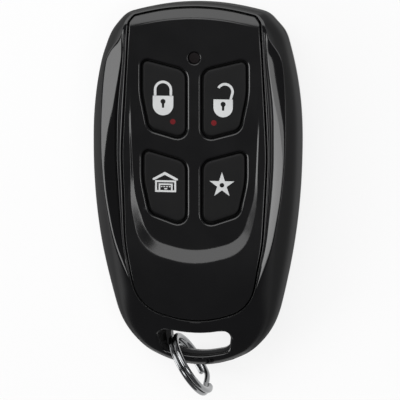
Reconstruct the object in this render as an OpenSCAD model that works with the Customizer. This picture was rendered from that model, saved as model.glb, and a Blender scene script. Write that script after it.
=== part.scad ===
// Four-key alarm key fob, lying on its back, with its split ring through the tail slot.
// X runs across the face, Y towards the top of the fob, Z up out of the face, in millimetres.
// The origin is the middle of the flat back, on the table.

/* [Case] */
// Width across the widest part of the case
body_w = 38; // [36:0.5:42]
// Length from the top edge to the tail, without the ring
body_l = 67.4; // [65:0.2:72]
// Height of the rail crests above the table
body_h = 12.3; // [12:0.1:13.2]
// Height of the seam between the two halves
seam_z = 5; // [4.7:0.1:5.3]
// Thickness of the outer walls
wall = 1.9; // [1.5:0.1:2.2]
// Thickness of the rear floor
floor_t = 1.4; // [1.2:0.05:1.6]
// Rounding of the rear edge, seen from the side
edge_r = 3.5; // [2.5:0.1:4]
// Rise of the swept-up tail of the back, at the tail's end
tail_lift = 3.5; // [2.8:0.1:3.6]
// Top of the dish floor that the keys sit in
dish_z = 10.4; // [10.2:0.05:10.7]
// Gap of the groove between the fascia and the rails
groove = 0.25; // [0.2:0.05:0.4]

/* [Keys] */
// Space from a key pocket's outer side to the fascia's edge
key_margin = 3.5; // [3.3:0.1:4]
// Length of a key pocket along its inner side
pocket_l = 13; // [12:0.1:13.2]
// Width of the web between the left and right pockets
web_w = 2.6; // [2.4:0.1:3.2]
// Gap between a key and its pocket
key_gap = 0.3; // [0.2:0.05:0.4]
// Depth of the key tops below the dish floor
key_sink = 0.25; // [0.1:0.05:0.4]
// Travel of a key
key_travel = 0.4; // [0.2:0.05:0.45]

/* [Slot and ring] */
// Width of the ring slot
slot_w = 13.1; // [12.5:0.1:14]
// Height of the ring slot at its ends
slot_h = 4.8; // [4.7:0.1:5.2]
// Width of the bar between the slot and the tail
bar_w = 2.3; // [2:0.1:2.5]
// Outer diameter of the split ring
ring_d = 12.7; // [12.2:0.1:13]
// Thickness of the ring's wire, from inside to outside
wire_r = 1.2; // [0.9:0.1:1.3]
// Width of the ring's wire along the ring's axis
wire_w = 0.7; // [0.6:0.05:0.9]
// Space between the ring's two turns
turn_gap = 0.42; // [0.41:0.01:0.6]
// Turn of the ring about the vertical, away from the fob's length
ring_turn = 32; // [24:0.1:34]

/* [Inside] */
// Diameter of the coin cell
cell_d = 20; // [16:0.5:20.5]
// Thickness of the coin cell
cell_t = 3.2; // [2.5:0.1:3.2]
// Thickness of the circuit board
board_t = 1; // [0.8:0.1:1.2]
// Width of a switch base
switch_w = 4.5; // [4:0.1:4.8]
// Height of a switch base above the board
switch_h = 1.1; // [1:0.05:1.2]
// Diameter of a switch plunger
plunger_d = 1.8; // [1.4:0.1:2]
// Diameter of the indicator window
led_d = 2.1; // [1.6:0.1:2.4]
// Shank diameter of the case screw
screw_d = 1.6; // [1.4:0.1:1.8]

/* [Hidden] */
$fn = 48;

half_w = body_w / 2;
half_l = body_l / 2;
arc_steps = 6;
least_fillet = 0.1;
overcut = 1;
sunk = 0.2;

// Crown of the top edge, cut shoulders, waist and tail of the case outline
crown_r = 42;
crown_slope = 15.2;
shoulder_inset = 6.1;
shoulder_cut = 3.1;
shoulder_slope = 47.6;
waist_top = 15.85;
waist_low = 27.6;
tail_r = 17.5;
tail_slope = 20.4;
tail_inset = 5.53;
crown_y = half_l + crown_r * (1 / cos(crown_slope) - 1);
tail_y = -half_l - tail_r * (1 / cos(tail_slope) - 1);
shoulder_x = half_w - shoulder_inset;
shoulder_y = crown_y - shoulder_x * tan(crown_slope);
tail_x = half_w - tail_inset;
case_outline = both_sides([
    [0, tail_y, tail_r],
    [tail_x, tail_y + tail_x * tan(tail_slope), 14],
    [half_w, waist_low - half_l, 115],
    [half_w, half_l - waist_top, 60],
    [shoulder_x + shoulder_cut, shoulder_y - shoulder_cut * tan(shoulder_slope), 6],
    [shoulder_x, shoulder_y, 4],
    [0, crown_y, crown_r]
]);

// Fascia: the insert that carries the keys, and the dish sunk in it round them
rail_w = 5.7;
rim_w = 1.1;
chin_w = 9;
fascia_x = half_w - rail_w;
fascia_top = half_l - rim_w;
fascia_low = chin_w - half_l;
// Rows of keys, the window and the width of a pocket, from the case's ends and sides
web_x = web_w / 2;
pocket_w = fascia_x - key_margin - web_x;
key_drop = 25.2;
row_pitch = 15.8;
led_drop = 10.1;
upper_y = half_l - key_drop;
lower_y = upper_y - row_pitch;
led_y = half_l - led_drop;
fascia_outline = both_sides([
    [0, fascia_low - 0.7, 16],
    [fascia_x - 2.9, fascia_low + 2.7, 7],
    [fascia_x - 0.7, fascia_low + 14.7, 30],
    [fascia_x, fascia_low + 30.7, 60],
    [fascia_x - 1.35, fascia_top - 2.7, 1.2],
    [fascia_x - 2.2, fascia_top - 1.57, 1.2],
    [0, fascia_top + 1.6, 40]
]);
dish_rim = both_sides([
    [0, lower_y - 6.9, 15],
    [fascia_x - 3.6, lower_y - 4.3, 6.5],
    [fascia_x - 1.4, lower_y + 5.1, 20],
    [fascia_x - 1.1, lower_y + 19.3, 60],
    [fascia_x - 1.55, fascia_top - 4.1, 1.2],
    [fascia_x - 2.3, fascia_top - 3.2, 1.2],
    [0, fascia_top - 0.55, 40]
]);
dish_floor = both_sides([
    [0, lower_y - 4.6, 14],
    [fascia_x - 4.7, lower_y - 2.3, 5.5],
    [fascia_x - 2.5, lower_y + 5.3, 20],
    [fascia_x - 1.8, lower_y + 19.3, 60],
    [fascia_x - 1.75, fascia_top - 4.3, 1.2],
    [fascia_x - 2.45, fascia_top - 3.4, 1.2],
    [0, fascia_top - 0.72, 40]
]);

// Heights: the case's long crown, the fascia's raised chin and its rolled top band
crest_y = -2;
crown_top_r = 245;
crown_tail_r = 92;
chin_rise = 1;
chin_y = fascia_low + 11;
chin_r = 30;
chin_ramp = 32;
band_slope = 20;
band_y = fascia_top - 2.25;
band_curve_r = 60;
band_roll = 1.5;
fascia_web = 1.2;
soft_edge = 0.12;
seat_t = 1;
seat_w = 1;
ledge_drop = 0.6;
fascia_seat_z = dish_z - fascia_web - ledge_drop;
key_roof_z = dish_z - fascia_web;
step_depth = 0.3;
step_fade_y = -18;
rail_roof = 2.6;
rail_wall = 1.4;
rail_draft = 0.3;
core_rise = 4;

// Back: a flat resting face with cut corners, eased up towards the edge and swept up to the tail
sweep_l = 17.7;
sweep_y = sweep_l - half_l;
sweep_r = pow(sweep_l, 2) / (2 * tail_lift);
edge_h = 4;
back_ease = 0.35;
rest_inset = 1.5;
rest_x = half_w - edge_r - rest_inset;
rest_top = half_l - edge_r - rest_inset;
rest_cut = 6;
rest_mid = [0, (rest_top + sweep_y) / 2];
rest_y = rest_top - rest_mid[1];
rest_right = [
    [rest_x - rest_cut, -rest_y],
    [rest_x, rest_cut - rest_y],
    [rest_x, rest_y - rest_cut],
    [rest_x - rest_cut, rest_y]
];
rest_left = [for (i = [len(rest_right) - 1 : -1 : 0]) [-rest_right[i][0], rest_right[i][1]]];
rest_corners = [for (p = concat(rest_right, rest_left)) rest_mid + p];
// Sides of the resting face: direction of each side, and its distance along that direction
rest_sides = [
    for (a = [-1, 0, 1], b = [-1, 0, 1])
        if (a != 0 || b != 0) [a, b, abs(a) * rest_x + abs(b) * rest_y - abs(a * b) * rest_cut]
];

// Stack of parts from the rear floor up to the keys
strap_t = 0.2;
strap_lift = 0.05;
strap_z = floor_t + strap_lift;
cell_z = strap_z + strap_t;
contact_h = 0.5;
board_z = cell_z + cell_t + contact_h;
board_top = board_z + board_t;
switch_top = board_top + switch_h;
plunger_rise = 0.45;
plunger_top = switch_top + plunger_rise;
flange_t = 0.5;
flange_gap = 0.1;
flange_z = key_roof_z - flange_gap - flange_t;
flange_w = 0.45;
key_top = dish_z - key_sink;
nib_d = 2.6;
mat_t = 0.6;
mat_gap = 0.2;
mat_inset = 0.45;
mat_room = 0.1;
pipe_flange_d = led_d + 1;
pipe_room = 0.3;

// Key pockets, right-hand side: the left side mirrors them
upper_pocket = [
    [web_x, upper_y, 1.8],
    [web_x + pocket_w - 1.3, upper_y + 2, 2.2],
    [web_x + pocket_w + 0.05, upper_y + 8.6, 14],
    [web_x + pocket_w, upper_y + pocket_l + 2.1, 1.2],
    [web_x, upper_y + pocket_l, 2.2]
];
lower_pocket = [
    [web_x, lower_y, 1.8],
    [web_x + pocket_w - 1.5, lower_y + 2.45, 2.2],
    [web_x + pocket_w - 0.15, lower_y + 8.6, 14],
    [web_x + pocket_w - 0.2, lower_y + pocket_l + 1.5, 1.2],
    [web_x, lower_y + pocket_l - 0.8, 2.2]
];
upper_nib = [web_x + pocket_w / 2, upper_y + pocket_l / 2 + 1];
lower_nib = [web_x + pocket_w / 2 - 0.2, lower_y + pocket_l / 2 + 0.8];
nibs = [
    [-upper_nib[0], upper_nib[1]], upper_nib,
    [-lower_nib[0], lower_nib[1]], lower_nib
];
lip_r = 0.4;

// Slot in the tail and the bar that the ring goes round
slot_low = bar_w - half_l;
slot_top = slot_low + slot_h;
slot_sag = 0.2;
slot_draw = 0.7;
slot_smile = 0.6;
slot_outline = [
    [0, slot_low - 0.55, 14],
    [slot_w / 2 - slot_draw, slot_low + slot_smile, 1.7],
    [slot_w / 2, slot_top, 1.2],
    [0, slot_top - slot_sag, 20],
    [-slot_w / 2, slot_top, 1.2],
    [slot_draw - slot_w / 2, slot_low + slot_smile, 1.7]
];
slot_wall = 1.6;
cavity_low = slot_top + slot_wall;
shelf_y = fascia_low + 7.2;

// Split ring: two turns with a step between them, standing on edge round the bar
ring_r = ring_d / 2;
ring_mid = ring_r - wire_r / 2;
turn_rise = (wire_w + turn_gap) / 2;
ring_lift = 0.1;
ring_reach = 0.35;
ring_x = -1.35;
ring_at = [ring_x, ring_reach - half_l, ring_r + ring_lift];
wire_sides = 8;
wire_step = 10;
bend_half = 16;
split_at = 310;
end_room = 4;
wire_angles = [bend_half + end_room : wire_step : 720 - bend_half - end_room];

// Screw, its bosses and the posts that clamp the board
screw_y = fascia_low + 4.3;
screw_head_d = 3.6;
screw_head_t = 1.3;
screw_seat_z = 1.9;
screw_room = 0.25;
boss_wall = 1.5;
boss_r = screw_d / 2 + boss_wall;
head_wall = 0.9;
head_boss_r = screw_head_d / 2 + screw_room + head_wall;
pilot_room = 0.03;
pilot_end = 0.35;
pilot_depth = fascia_seat_z - pilot_end;
tip_room = 0.3;
cross_l = 2.2;
cross_w = 0.5;
cross_depth = 0.6;
post_r = 1.1;
low_post_r = 1.3;
post_x = half_w - 5.5;
post_ys = [-8, 17];
board_inset = wall + 1.1;
board_low = screw_y + boss_r + 0.8;
tongue_room = 0.15;
tongue_t = 0.7;
tongue_h = 1;
tongue_stop = 4;
cell_drop = 29.7;
cell_y = half_l - cell_drop;
cell_room = 0.3;
rib_t = 0.8;
rib_h = 2;
strap_w = 5;
strap_room = 1;

// Helpers: outlines with filleted corners, and skins lofted through them
function both_sides(half) = concat(half, [
    for (i = [len(half) - 2 : -1 : 1]) [-half[i][0], half[i][1], half[i][2]]
]);
function turned(list, i) = list[(i + len(list)) % len(list)];
function spot(corner) = [corner[0], corner[1]];
function unit(v) = v / norm(v);
function heading(cs, i, k) = unit(spot(turned(cs, i + k)) - spot(turned(cs, i)));
function half_angle(cs, i) = acos(heading(cs, i, -1) * heading(cs, i, 1)) / 2;
function inward(cs, i) = unit(heading(cs, i, -1) + heading(cs, i, 1));
function reach(cs, i) = turned(cs, i)[2] / tan(half_angle(cs, i));
function side(cs, i) = norm(spot(turned(cs, i + 1)) - spot(turned(cs, i)));
// Share of its fillet that a corner keeps where two fillets meet on a short side
function kept(cs, i) = min(
    1,
    side(cs, i) / (reach(cs, i) + reach(cs, i + 1)),
    side(cs, i - 1) / (reach(cs, i) + reach(cs, i - 1))
);
function short_way(a) = a > 180 ? a - 360 : a < -180 ? a + 360 : a;
function fillet(cs, i, steps) =
    let (r = kept(cs, i) * cs[i][2])
    let (h = half_angle(cs, i))
    let (c = spot(cs[i]) + inward(cs, i) * r / sin(h))
    let (from = spot(cs[i]) + heading(cs, i, -1) * r / tan(h) - c)
    let (to = spot(cs[i]) + heading(cs, i, 1) * r / tan(h) - c)
    let (a = atan2(from[1], from[0]))
    let (sweep = short_way(atan2(to[1], to[0]) - a))
    [for (k = [0 : steps]) c + r * [cos(a + sweep * k / steps), sin(a + sweep * k / steps)]];
function loop(cs, steps = arc_steps) = [for (i = [0 : len(cs) - 1]) each fillet(cs, i, steps)];
// The outline moved in by d all round, or out where d is negative
function inset(cs, d) = [
    for (i = [0 : len(cs) - 1])
        let (p = spot(cs[i]) + inward(cs, i) * d / sin(half_angle(cs, i)))
        [p[0], p[1], max(cs[i][2] - d, least_fillet)]
];
function mix(a, b, t) = [for (i = [0 : len(a) - 1]) a[i] * (1 - t) + b[i] * t];
function raised(points, z) = [for (p = points) [p[0], p[1], z]];
function clamp(v) = max(0, min(1, v));
function smooth(v) = let (c = clamp(v)) c * c * (3 - 2 * c);

// Skin through rings of equal counts, each counter-clockwise seen from above, lowest first.
// A foot is a flat face with fewer corners below the lowest ring, joined to it by triangles.
function nearest(p, corners) =
    let (away = [for (c = corners) norm(spot(c) - spot(p))])
    search(min(away), away)[0];

module loft(rings, ring_shaped = false, foot = []) {
    n = len(rings[0]);
    last = len(rings) - 1;
    walls = [
        for (j = [0 : ring_shaped ? last : last - 1])
            for (i = [0 : n - 1])
                let (k = (j + 1) % (last + 1))
                let (m = (i + 1) % n)
                each [
                    [j * n + i, k * n + i, k * n + m],
                    [j * n + i, k * n + m, j * n + m]
                ]
    ];
    foot_at = len(rings) * n;
    owner = len(foot) == 0 ? [] : [for (p = rings[0]) foot_at + nearest(p, foot)];
    foot_walls = len(foot) == 0 ? [] : [
        for (i = [0 : n - 1])
            let (m = (i + 1) % n)
            each concat([[owner[i], i, m]], owner[i] == owner[m] ? [] : [[owner[i], m, owner[m]]])
    ];
    low_cap = len(foot) == 0 ? [for (i = [0 : n - 1]) i] : [for (i = [0 : len(foot) - 1]) foot_at + i];
    top_cap = [for (i = [n - 1 : -1 : 0]) last * n + i];
    points = concat([for (r = rings) each r], foot);
    polyhedron(points, ring_shaped ? walls : concat(walls, foot_walls, [low_cap, top_cap]));
}

module plate(cs, z, t) {
    translate([0, 0, z]) linear_extrude(t) polygon(loop(cs));
}

// Half plane above a given Y, for cutting outlines off at the tail
module above(y) {
    translate([-body_w, y]) square([2 * body_w, 2 * body_l]);
}

// Height of the case's crest line along its length
function crest(y) = body_h - pow(y - crest_y, 2) / (2 * (y > crest_y ? crown_top_r : crown_tail_r));
// Height of the fascia outside its dish: raised chin, falling apron, rolled top band
function apron(y) = y < chin_y ? pow(chin_y - y, 2) / (2 * chin_r) : 0;
function band_d(p) = max(0, p[1] + p[0] * p[0] / (2 * band_curve_r) - band_y);
function rolled(d) = d < band_roll ? d * d / (2 * band_roll) : d - band_roll / 2;
function band(p) = rolled(band_d(p)) * tan(band_slope);
function chin(y) = chin_rise * smooth((chin_y + chin_ramp - y) / chin_ramp);
function skin_z(p) = dish_z + chin(p[1]) - apron(p[1]) - band(p);
function on_skin(points) = [for (p = points) [p[0], p[1], skin_z(p)]];
// Height of the swept back
function back_z(y) = y < sweep_y ? pow(sweep_y - y, 2) / (2 * sweep_r) : 0;
// Point of the resting face's rim on the way from its middle to p
function on_rest(p) =
    let (u = p - rest_mid)
    let (shares = [for (s = rest_sides) let (q = s[0] * u[0] + s[1] * u[1]) if (q > 0) s[2] / q])
    rest_mid + u * min(shares);

// Rail section: place across the rail, share of the crest's height
outer_section = [
    [0.012, 0.45], [0.03, 0.64], [0.06, 0.78], [0.1, 0.855],
    [0.18, 0.915], [0.3, 0.965], [0.46, 1]
];
// Inner slope: place across the rail, share of the fall to the fascia, share of the step's depth
inner_section = [
    [0.56, 0.112, 0], [0.68, 0.304, 0], [0.8, 0.535, 0], [0.835, 0.86, 0.8],
    [0.86, 0.93, 1], [0.888, 0.95, 1], [0.91, 0.96, 0], [1, 1, 0]
];

module housing_skin() {
    outer = loop(case_outline);
    opening = loop(inset(fascia_outline, -groove));
    window = [
        for (p = loop(inset(fascia_outline, seat_w)))
            [p[0], max(p[1], shelf_y + 0.02 * (p[1] - shelf_y))]
    ];
    function outside(s) = [
        for (p = mix(outer, opening, s[0])) [p[0], p[1], seam_z + (crest(p[1]) - seam_z) * s[1]]
    ];
    function step_at(y) = step_depth * clamp((y - step_fade_y) / 8);
    function inside(s) =
        let (ps = mix(outer, opening, s[0]))
        [
            for (i = [0 : len(ps) - 1])
                let (y = ps[i][1])
                let (fall = crest(y) * (1 - s[1]) + skin_z(opening[i]) * s[1])
                [ps[i][0], y, fall - s[2] * step_at(y)]
        ];
    loft(concat(
        [raised(outer, seam_z)],
        [for (s = outer_section) outside(s)],
        [for (s = inner_section) inside(s)],
        [raised(opening, fascia_seat_z), raised(window, fascia_seat_z), raised(window, seam_z)]
    ), true);
}

module slot_cut() {
    plate(slot_outline, -overcut, body_h + 2 * overcut);
}

// Place of everything that the case screw goes through
module at_screw() {
    translate([0, screw_y, 0]) children();
}

module at_posts() {
    for (x = [-post_x, post_x], y = post_ys) translate([x, y, 0]) children();
}

// Room inside the case, between two heights and from a given Y to the top end
module hollow(from_z, to_z, y) {
    translate([0, 0, from_z]) linear_extrude(to_z - from_z) intersection() {
        polygon(loop(inset(case_outline, wall)));
        above(y);
    }
}

// Room inside the two rails, which keeps their walls even
module rail_cores(from_z, to_z) {
    translate([0, 0, from_z]) linear_extrude(to_z - from_z) difference() {
        polygon(loop(inset(case_outline, wall + rail_draft)));
        polygon(loop(inset(fascia_outline, -groove - rail_wall)));
        translate([-body_w, -2 * body_l]) square([2 * body_w, 2 * body_l + step_fade_y]);
        above(half_l - waist_top + core_rise);
    }
}

module front_housing() {
    roof_z = fascia_seat_z - seat_t;
    rail_core_z = body_h - rail_roof;
    color("#0c0d0f") difference() {
        union() {
            difference() {
                housing_skin();
                hollow(seam_z - overcut, roof_z, cavity_low);
                rail_cores(roof_z - overcut, rail_core_z);
            }
            at_posts() translate([0, 0, board_top]) cylinder(r = post_r, h = roof_z - board_top + sunk);
            at_screw() translate([0, 0, seam_z]) cylinder(r = boss_r, h = roof_z - seam_z + sunk);
        }
        slot_cut();
        at_screw() translate([0, 0, seam_z - overcut])
            cylinder(d = screw_d + 2 * pilot_room, h = pilot_depth - seam_z + overcut);
    }
}

module rear_skin() {
    function lifted(points, ease, share) = [
        for (p = points) [p[0], p[1], (back_z(p[1]) + ease) * (1 - share) + seam_z * share]
    ];
    function edge_ring(s) = loop(inset(case_outline, edge_r * (1 - sin(90 * s))));
    low = loop(inset(case_outline, edge_r));
    flat = [for (p = low) on_rest(p)];
    edge_steps = [0.2, 0.4, 0.6, 0.8, 1];
    loft(concat(
        [for (t = [0.6, 0.3, 0]) lifted(mix(low, flat, t), back_ease * (1 - t), 0)],
        [for (s = edge_steps) lifted(edge_ring(s), back_ease, (1 - cos(90 * s)) * edge_h / seam_z)],
        [raised(loop(case_outline), seam_z)]
    ), foot = raised(rest_corners, 0));
}

module rear_housing() {
    tongue_in = wall + tongue_room;
    color("#121315") difference() {
        union() {
            difference() {
                rear_skin();
                hollow(floor_t, seam_z + overcut, sweep_y);
                hollow(floor_t + back_ease + back_z(cavity_low), seam_z + overcut, cavity_low);
            }
            translate([0, 0, floor_t]) linear_extrude(seam_z + tongue_h - floor_t) difference() {
                intersection() {
                    polygon(loop(inset(case_outline, tongue_in)));
                    above(cavity_low + tongue_stop);
                }
                polygon(loop(inset(case_outline, tongue_in + tongue_t)));
            }
            at_posts() translate([0, 0, floor_t - sunk])
                cylinder(r = low_post_r, h = board_z - floor_t + sunk);
            at_screw() translate([0, 0, floor_t - sunk])
                cylinder(r = head_boss_r, h = seam_z - floor_t + sunk);
            translate([0, cell_y, floor_t - sunk]) difference() {
                cylinder(d = cell_d + 2 * (cell_room + rib_t), h = rib_h);
                translate([0, 0, -overcut]) cylinder(d = cell_d + 2 * cell_room, h = rib_h + 2 * overcut);
                cube([2 * cell_d, strap_w + 2 * strap_room, 4 * rib_h], center = true);
            }
        }
        slot_cut();
        at_screw() {
            translate([0, 0, -overcut])
                cylinder(d = screw_head_d + 2 * screw_room, h = screw_seat_z + overcut);
            cylinder(d = screw_d + 2 * screw_room, h = seam_z + overcut);
        }
    }
}

module case_screw() {
    color("silver") at_screw() difference() {
        union() {
            translate([0, 0, screw_seat_z - screw_head_t]) cylinder(d = screw_head_d, h = screw_head_t);
            translate([0, 0, screw_seat_z])
                cylinder(d = screw_d, h = pilot_depth - screw_seat_z - tip_room);
        }
        for (a = [0, 90]) rotate(a) translate([0, 0, screw_seat_z - screw_head_t])
            cube([cross_l, cross_w, 2 * cross_depth], center = true);
    }
}

// Pocket corners on the left side, from those on the right
function left_hand(cs) = [for (i = [len(cs) - 1 : -1 : 0]) [-cs[i][0], cs[i][1], cs[i][2]]];
pockets = [left_hand(upper_pocket), upper_pocket, left_hand(lower_pocket), lower_pocket];

module pocket_cut(cs) {
    loft([
        raised(loop(cs), key_roof_z - overcut),
        raised(loop(cs), dish_z - lip_r),
        raised(loop(inset(cs, -0.3 * lip_r)), dish_z - 0.3 * lip_r),
        raised(loop(inset(cs, -lip_r)), dish_z),
        raised(loop(inset(cs, -lip_r)), dish_z + overcut)
    ]);
}

module mat_shape(grow) {
    difference() {
        polygon(loop(inset(dish_floor, mat_inset - grow)));
        if (grow == 0) {
            for (cs = pockets) polygon(loop(inset(cs, -flange_w - mat_gap)));
            translate([0, led_y]) circle(d = pipe_flange_d + 2 * pipe_room);
        }
    }
}

module fascia() {
    edge = loop(fascia_outline);
    rim = loop(dish_rim);
    soft = loop(inset(fascia_outline, soft_edge));
    color("#1b1c1e") difference() {
        loft(concat(
            [raised(edge, fascia_seat_z)],
            [[for (p = edge) [p[0], p[1], skin_z(p) - soft_edge]]],
            [for (t = [0, 0.2, 0.4, 0.6, 0.8, 1]) on_skin(mix(soft, rim, t))],
            [raised(loop(dish_floor), dish_z)]
        ));
        for (cs = pockets) pocket_cut(cs);
        translate([0, 0, fascia_seat_z - overcut]) linear_extrude(key_roof_z - fascia_seat_z + overcut)
            mat_shape(mat_room);
        translate([0, led_y, 0]) {
            cylinder(d = led_d, h = body_h);
            translate([0, 0, dish_z - lip_r]) cylinder(d1 = led_d, d2 = led_d + 4 * lip_r, h = 2 * lip_r);
        }
    }
}

module keypad_mat() {
    color("#202124") translate([0, 0, key_roof_z - mat_t]) linear_extrude(mat_t) mat_shape(0);
}

module key(cs, nib) {
    color("#26282a") union() {
        plate(inset(cs, -flange_w), flange_z, flange_t);
        loft([
            raised(loop(inset(cs, key_gap)), flange_z + 0.1),
            raised(loop(inset(cs, key_gap)), key_top - 0.3),
            raised(loop(inset(cs, key_gap + 0.1)), key_top - 0.1),
            raised(loop(inset(cs, key_gap + 0.35)), key_top)
        ]);
        translate([nib[0], nib[1], plunger_top]) cylinder(d = nib_d, h = flange_z - plunger_top + 0.1);
    }
}

module lock_key() { key(pockets[0], nibs[0]); }
module unlock_key() { key(pockets[1], nibs[1]); }
module garage_key() { key(pockets[2], nibs[2]); }
module star_key() { key(pockets[3], nibs[3]); }

// Switch: a square base with a round well, a flanged plunger and a snap dome under it
well_z = board_top + 0.15;
well_top = switch_top - 0.25;
well_d = switch_w - 1;
plunger_foot_z = well_z + key_travel + 0.03;
plunger_room = 0.1;
foot_w = 0.4;
dome_t = 0.08;

module switch_bases() {
    color("#333538") for (p = nibs) translate([p[0], p[1], 0]) difference() {
        translate([0, 0, board_top + switch_h / 2]) cube([switch_w, switch_w, switch_h], center = true);
        translate([0, 0, well_z]) cylinder(d = well_d, h = well_top - well_z);
        translate([0, 0, well_z]) cylinder(d = plunger_d + 2 * plunger_room, h = switch_h);
    }
}

module plunger(p) {
    foot_top = well_top - 0.03;
    color("#e8e8e4") translate([p[0], p[1], plunger_foot_z]) union() {
        cylinder(d = plunger_d + 2 * foot_w, h = foot_top - plunger_foot_z);
        cylinder(d = plunger_d, h = plunger_top - plunger_foot_z);
    }
}

module lock_plunger() { plunger(nibs[0]); }
module unlock_plunger() { plunger(nibs[1]); }
module garage_plunger() { plunger(nibs[2]); }
module star_plunger() { plunger(nibs[3]); }

module dome(p) {
    rise = plunger_foot_z - well_z - 0.01;
    foot_r = well_d / 2 - 0.15;
    cap_r = (foot_r * foot_r + rise * rise) / (2 * rise);
    color("gold") translate([p[0], p[1], well_z]) intersection() {
        translate([0, 0, rise - cap_r]) difference() {
            sphere(r = cap_r);
            sphere(r = cap_r - dome_t);
        }
        cylinder(r = foot_r, h = rise + overcut);
    }
}

module lock_dome() { dome(nibs[0]); }
module unlock_dome() { dome(nibs[1]); }
module garage_dome() { dome(nibs[2]); }
module star_dome() { dome(nibs[3]); }

module circuit_board() {
    color("#1f5a34") translate([0, 0, board_z]) linear_extrude(board_t) intersection() {
        polygon(loop(inset(case_outline, board_inset)));
        above(board_low);
    }
}

// Small parts soldered on top of the board
module on_board(x, y) {
    translate([x, y, board_top]) children();
}

module indicator_led() {
    color("#f2efe2") on_board(0, led_y) union() {
        translate([-0.8, -0.4, 0]) cube([1.6, 0.8, 0.4]);
        translate([-0.5, -0.4, 0]) cube([1, 0.8, 0.65]);
    }
}

module light_pipe() {
    color("#2a1416") translate([0, led_y, 0]) union() {
        pipe_z = board_top + 0.75;
        translate([0, 0, pipe_z]) cylinder(d = led_d - 0.1, h = dish_z - lip_r - pipe_z);
        translate([0, 0, key_roof_z - mat_t]) cylinder(d = pipe_flange_d, h = mat_t);
    }
}

module transmitter_chip() {
    legs = 6;
    pitch = 0.65;
    color("#17181a") on_board(0, upper_y - 0.9) union() {
        translate([-1.5, -2.5, 0.1]) cube([3, 5, 0.9]);
        for (s = [-1, 1], i = [0 : legs - 1])
            translate([s * 1.8 - 0.4, (i - legs / 2 + 0.5) * pitch - 0.12, 0]) cube([0.8, 0.24, 0.2]);
    }
}

module timing_crystal() {
    color("silver") on_board(0, lower_y + 7.2) union() {
        translate([-1.25, -1.6, 0]) cube([2.5, 3.2, 0.5]);
        translate([-1.05, -1.4, 0.5]) cube([2.1, 2.8, 0.25]);
    }
}

module chip_passives() {
    color("#8a7358") for (s = [-1, 1], i = [0 : 3])
        on_board(s * (web_x + pocket_w + 0.6), lower_y + 2 + 2.6 * i)
            translate([-0.5, -0.25, 0]) cube([1, 0.5, 0.45]);
}

module antenna_loop() {
    trace_w = 1;
    color("#b87333") translate([0, 0, board_top]) linear_extrude(0.1) difference() {
        intersection() {
            polygon(loop(inset(case_outline, board_inset + 0.6)));
            above(upper_y + pocket_l + 4);
        }
        polygon(loop(inset(case_outline, board_inset + 0.6 + trace_w)));
    }
}

module coin_cell() {
    can_t = cell_t - 0.5;
    color("#c9cbcc") translate([0, cell_y, cell_z]) rotate_extrude() polygon([
        [0, 0], [cell_d / 2 - 0.5, 0], [cell_d / 2, 0.5],
        [cell_d / 2, can_t], [cell_d / 2 - 0.5, can_t + 0.2],
        [cell_d / 2 - 1.2, can_t + 0.2], [cell_d / 2 - 1.5, cell_t], [0, cell_t]
    ]);
}

// Strap under the cell with a leg on each side, soldered to the board by its feet
module positive_clip() {
    leg_x = cell_d / 2 + 0.15;
    foot_l = 1.6;
    color("#d6d2c4") translate([0, cell_y - strap_w / 2, 0]) union() {
        translate([-leg_x - strap_t, 0, strap_z]) cube([2 * (leg_x + strap_t), strap_w, strap_t]);
        for (s = [-1, 1]) {
            translate([s * (leg_x + strap_t / 2) - strap_t / 2, 0, strap_z])
                cube([strap_t, strap_w, board_z - strap_z]);
            translate([s * (leg_x + foot_l / 2) - foot_l / 2, 0, board_z - strap_t])
                cube([foot_l, strap_w, strap_t]);
        }
    }
}

module negative_contact() {
    pad_r = 3;
    pad_t = 0.2;
    dimple_r = 1.2;
    color("#d6d2c4") translate([0, cell_y, 0]) union() {
        translate([0, 0, board_z - pad_t]) cylinder(r = pad_r, h = pad_t);
        translate([0, 0, board_z - contact_h]) cylinder(r1 = dimple_r / 2, r2 = dimple_r, h = contact_h);
    }
}

// Ring of points round the wire at one angle along its two turns
function axial(a) = turn_rise * (2 * smooth((a - 360 + bend_half) / (2 * bend_half)) - 1);
function wire_ring(a) = [
    for (k = [0 : wire_sides - 1])
        let (b = (k + 0.5) * 360 / wire_sides)
        let (round_up = cos(180 / wire_sides))
        let (r = ring_mid + wire_r / 2 * cos(b) / round_up)
        [r * cos(a + split_at), r * sin(a + split_at), axial(a) + wire_w / 2 * sin(b) / round_up]
];
wire = [for (a = wire_angles) wire_ring(a)];
function least_space(ps, qs) = min([for (p = ps, q = qs) norm(p - q)]);
turn_count = 360 / wire_step;
wire_space = min([
    for (i = [0 : len(wire) - 1 - turn_count + 2])
        for (j = [max(0, i + turn_count - 2) : min(len(wire) - 1, i + turn_count + 2)])
            least_space(wire[i], wire[j])
]);

module split_ring() {
    echo(least_space_between_turns = wire_space);
    color("#c8cacb") translate(ring_at) rotate([0, 0, ring_turn]) rotate([0, 90, 0])
        loft([for (i = [0 : len(wire) - 1]) [for (k = [wire_sides - 1 : -1 : 0]) wire[i][k]]]);
}

front_housing();
rear_housing();
fascia();
keypad_mat();
lock_key();
unlock_key();
garage_key();
star_key();
lock_plunger();
unlock_plunger();
garage_plunger();
star_plunger();
lock_dome();
unlock_dome();
garage_dome();
star_dome();
switch_bases();
circuit_board();
indicator_led();
light_pipe();
transmitter_chip();
timing_crystal();
chip_passives();
antenna_loop();
coin_cell();
positive_clip();
negative_contact();
case_screw();
split_ring();
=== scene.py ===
import math

import bmesh
import bpy
from mathutils import Matrix, Vector
from mathutils.bvhtree import BVHTree
from mathutils.geometry import intersect_line_line_2d


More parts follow.
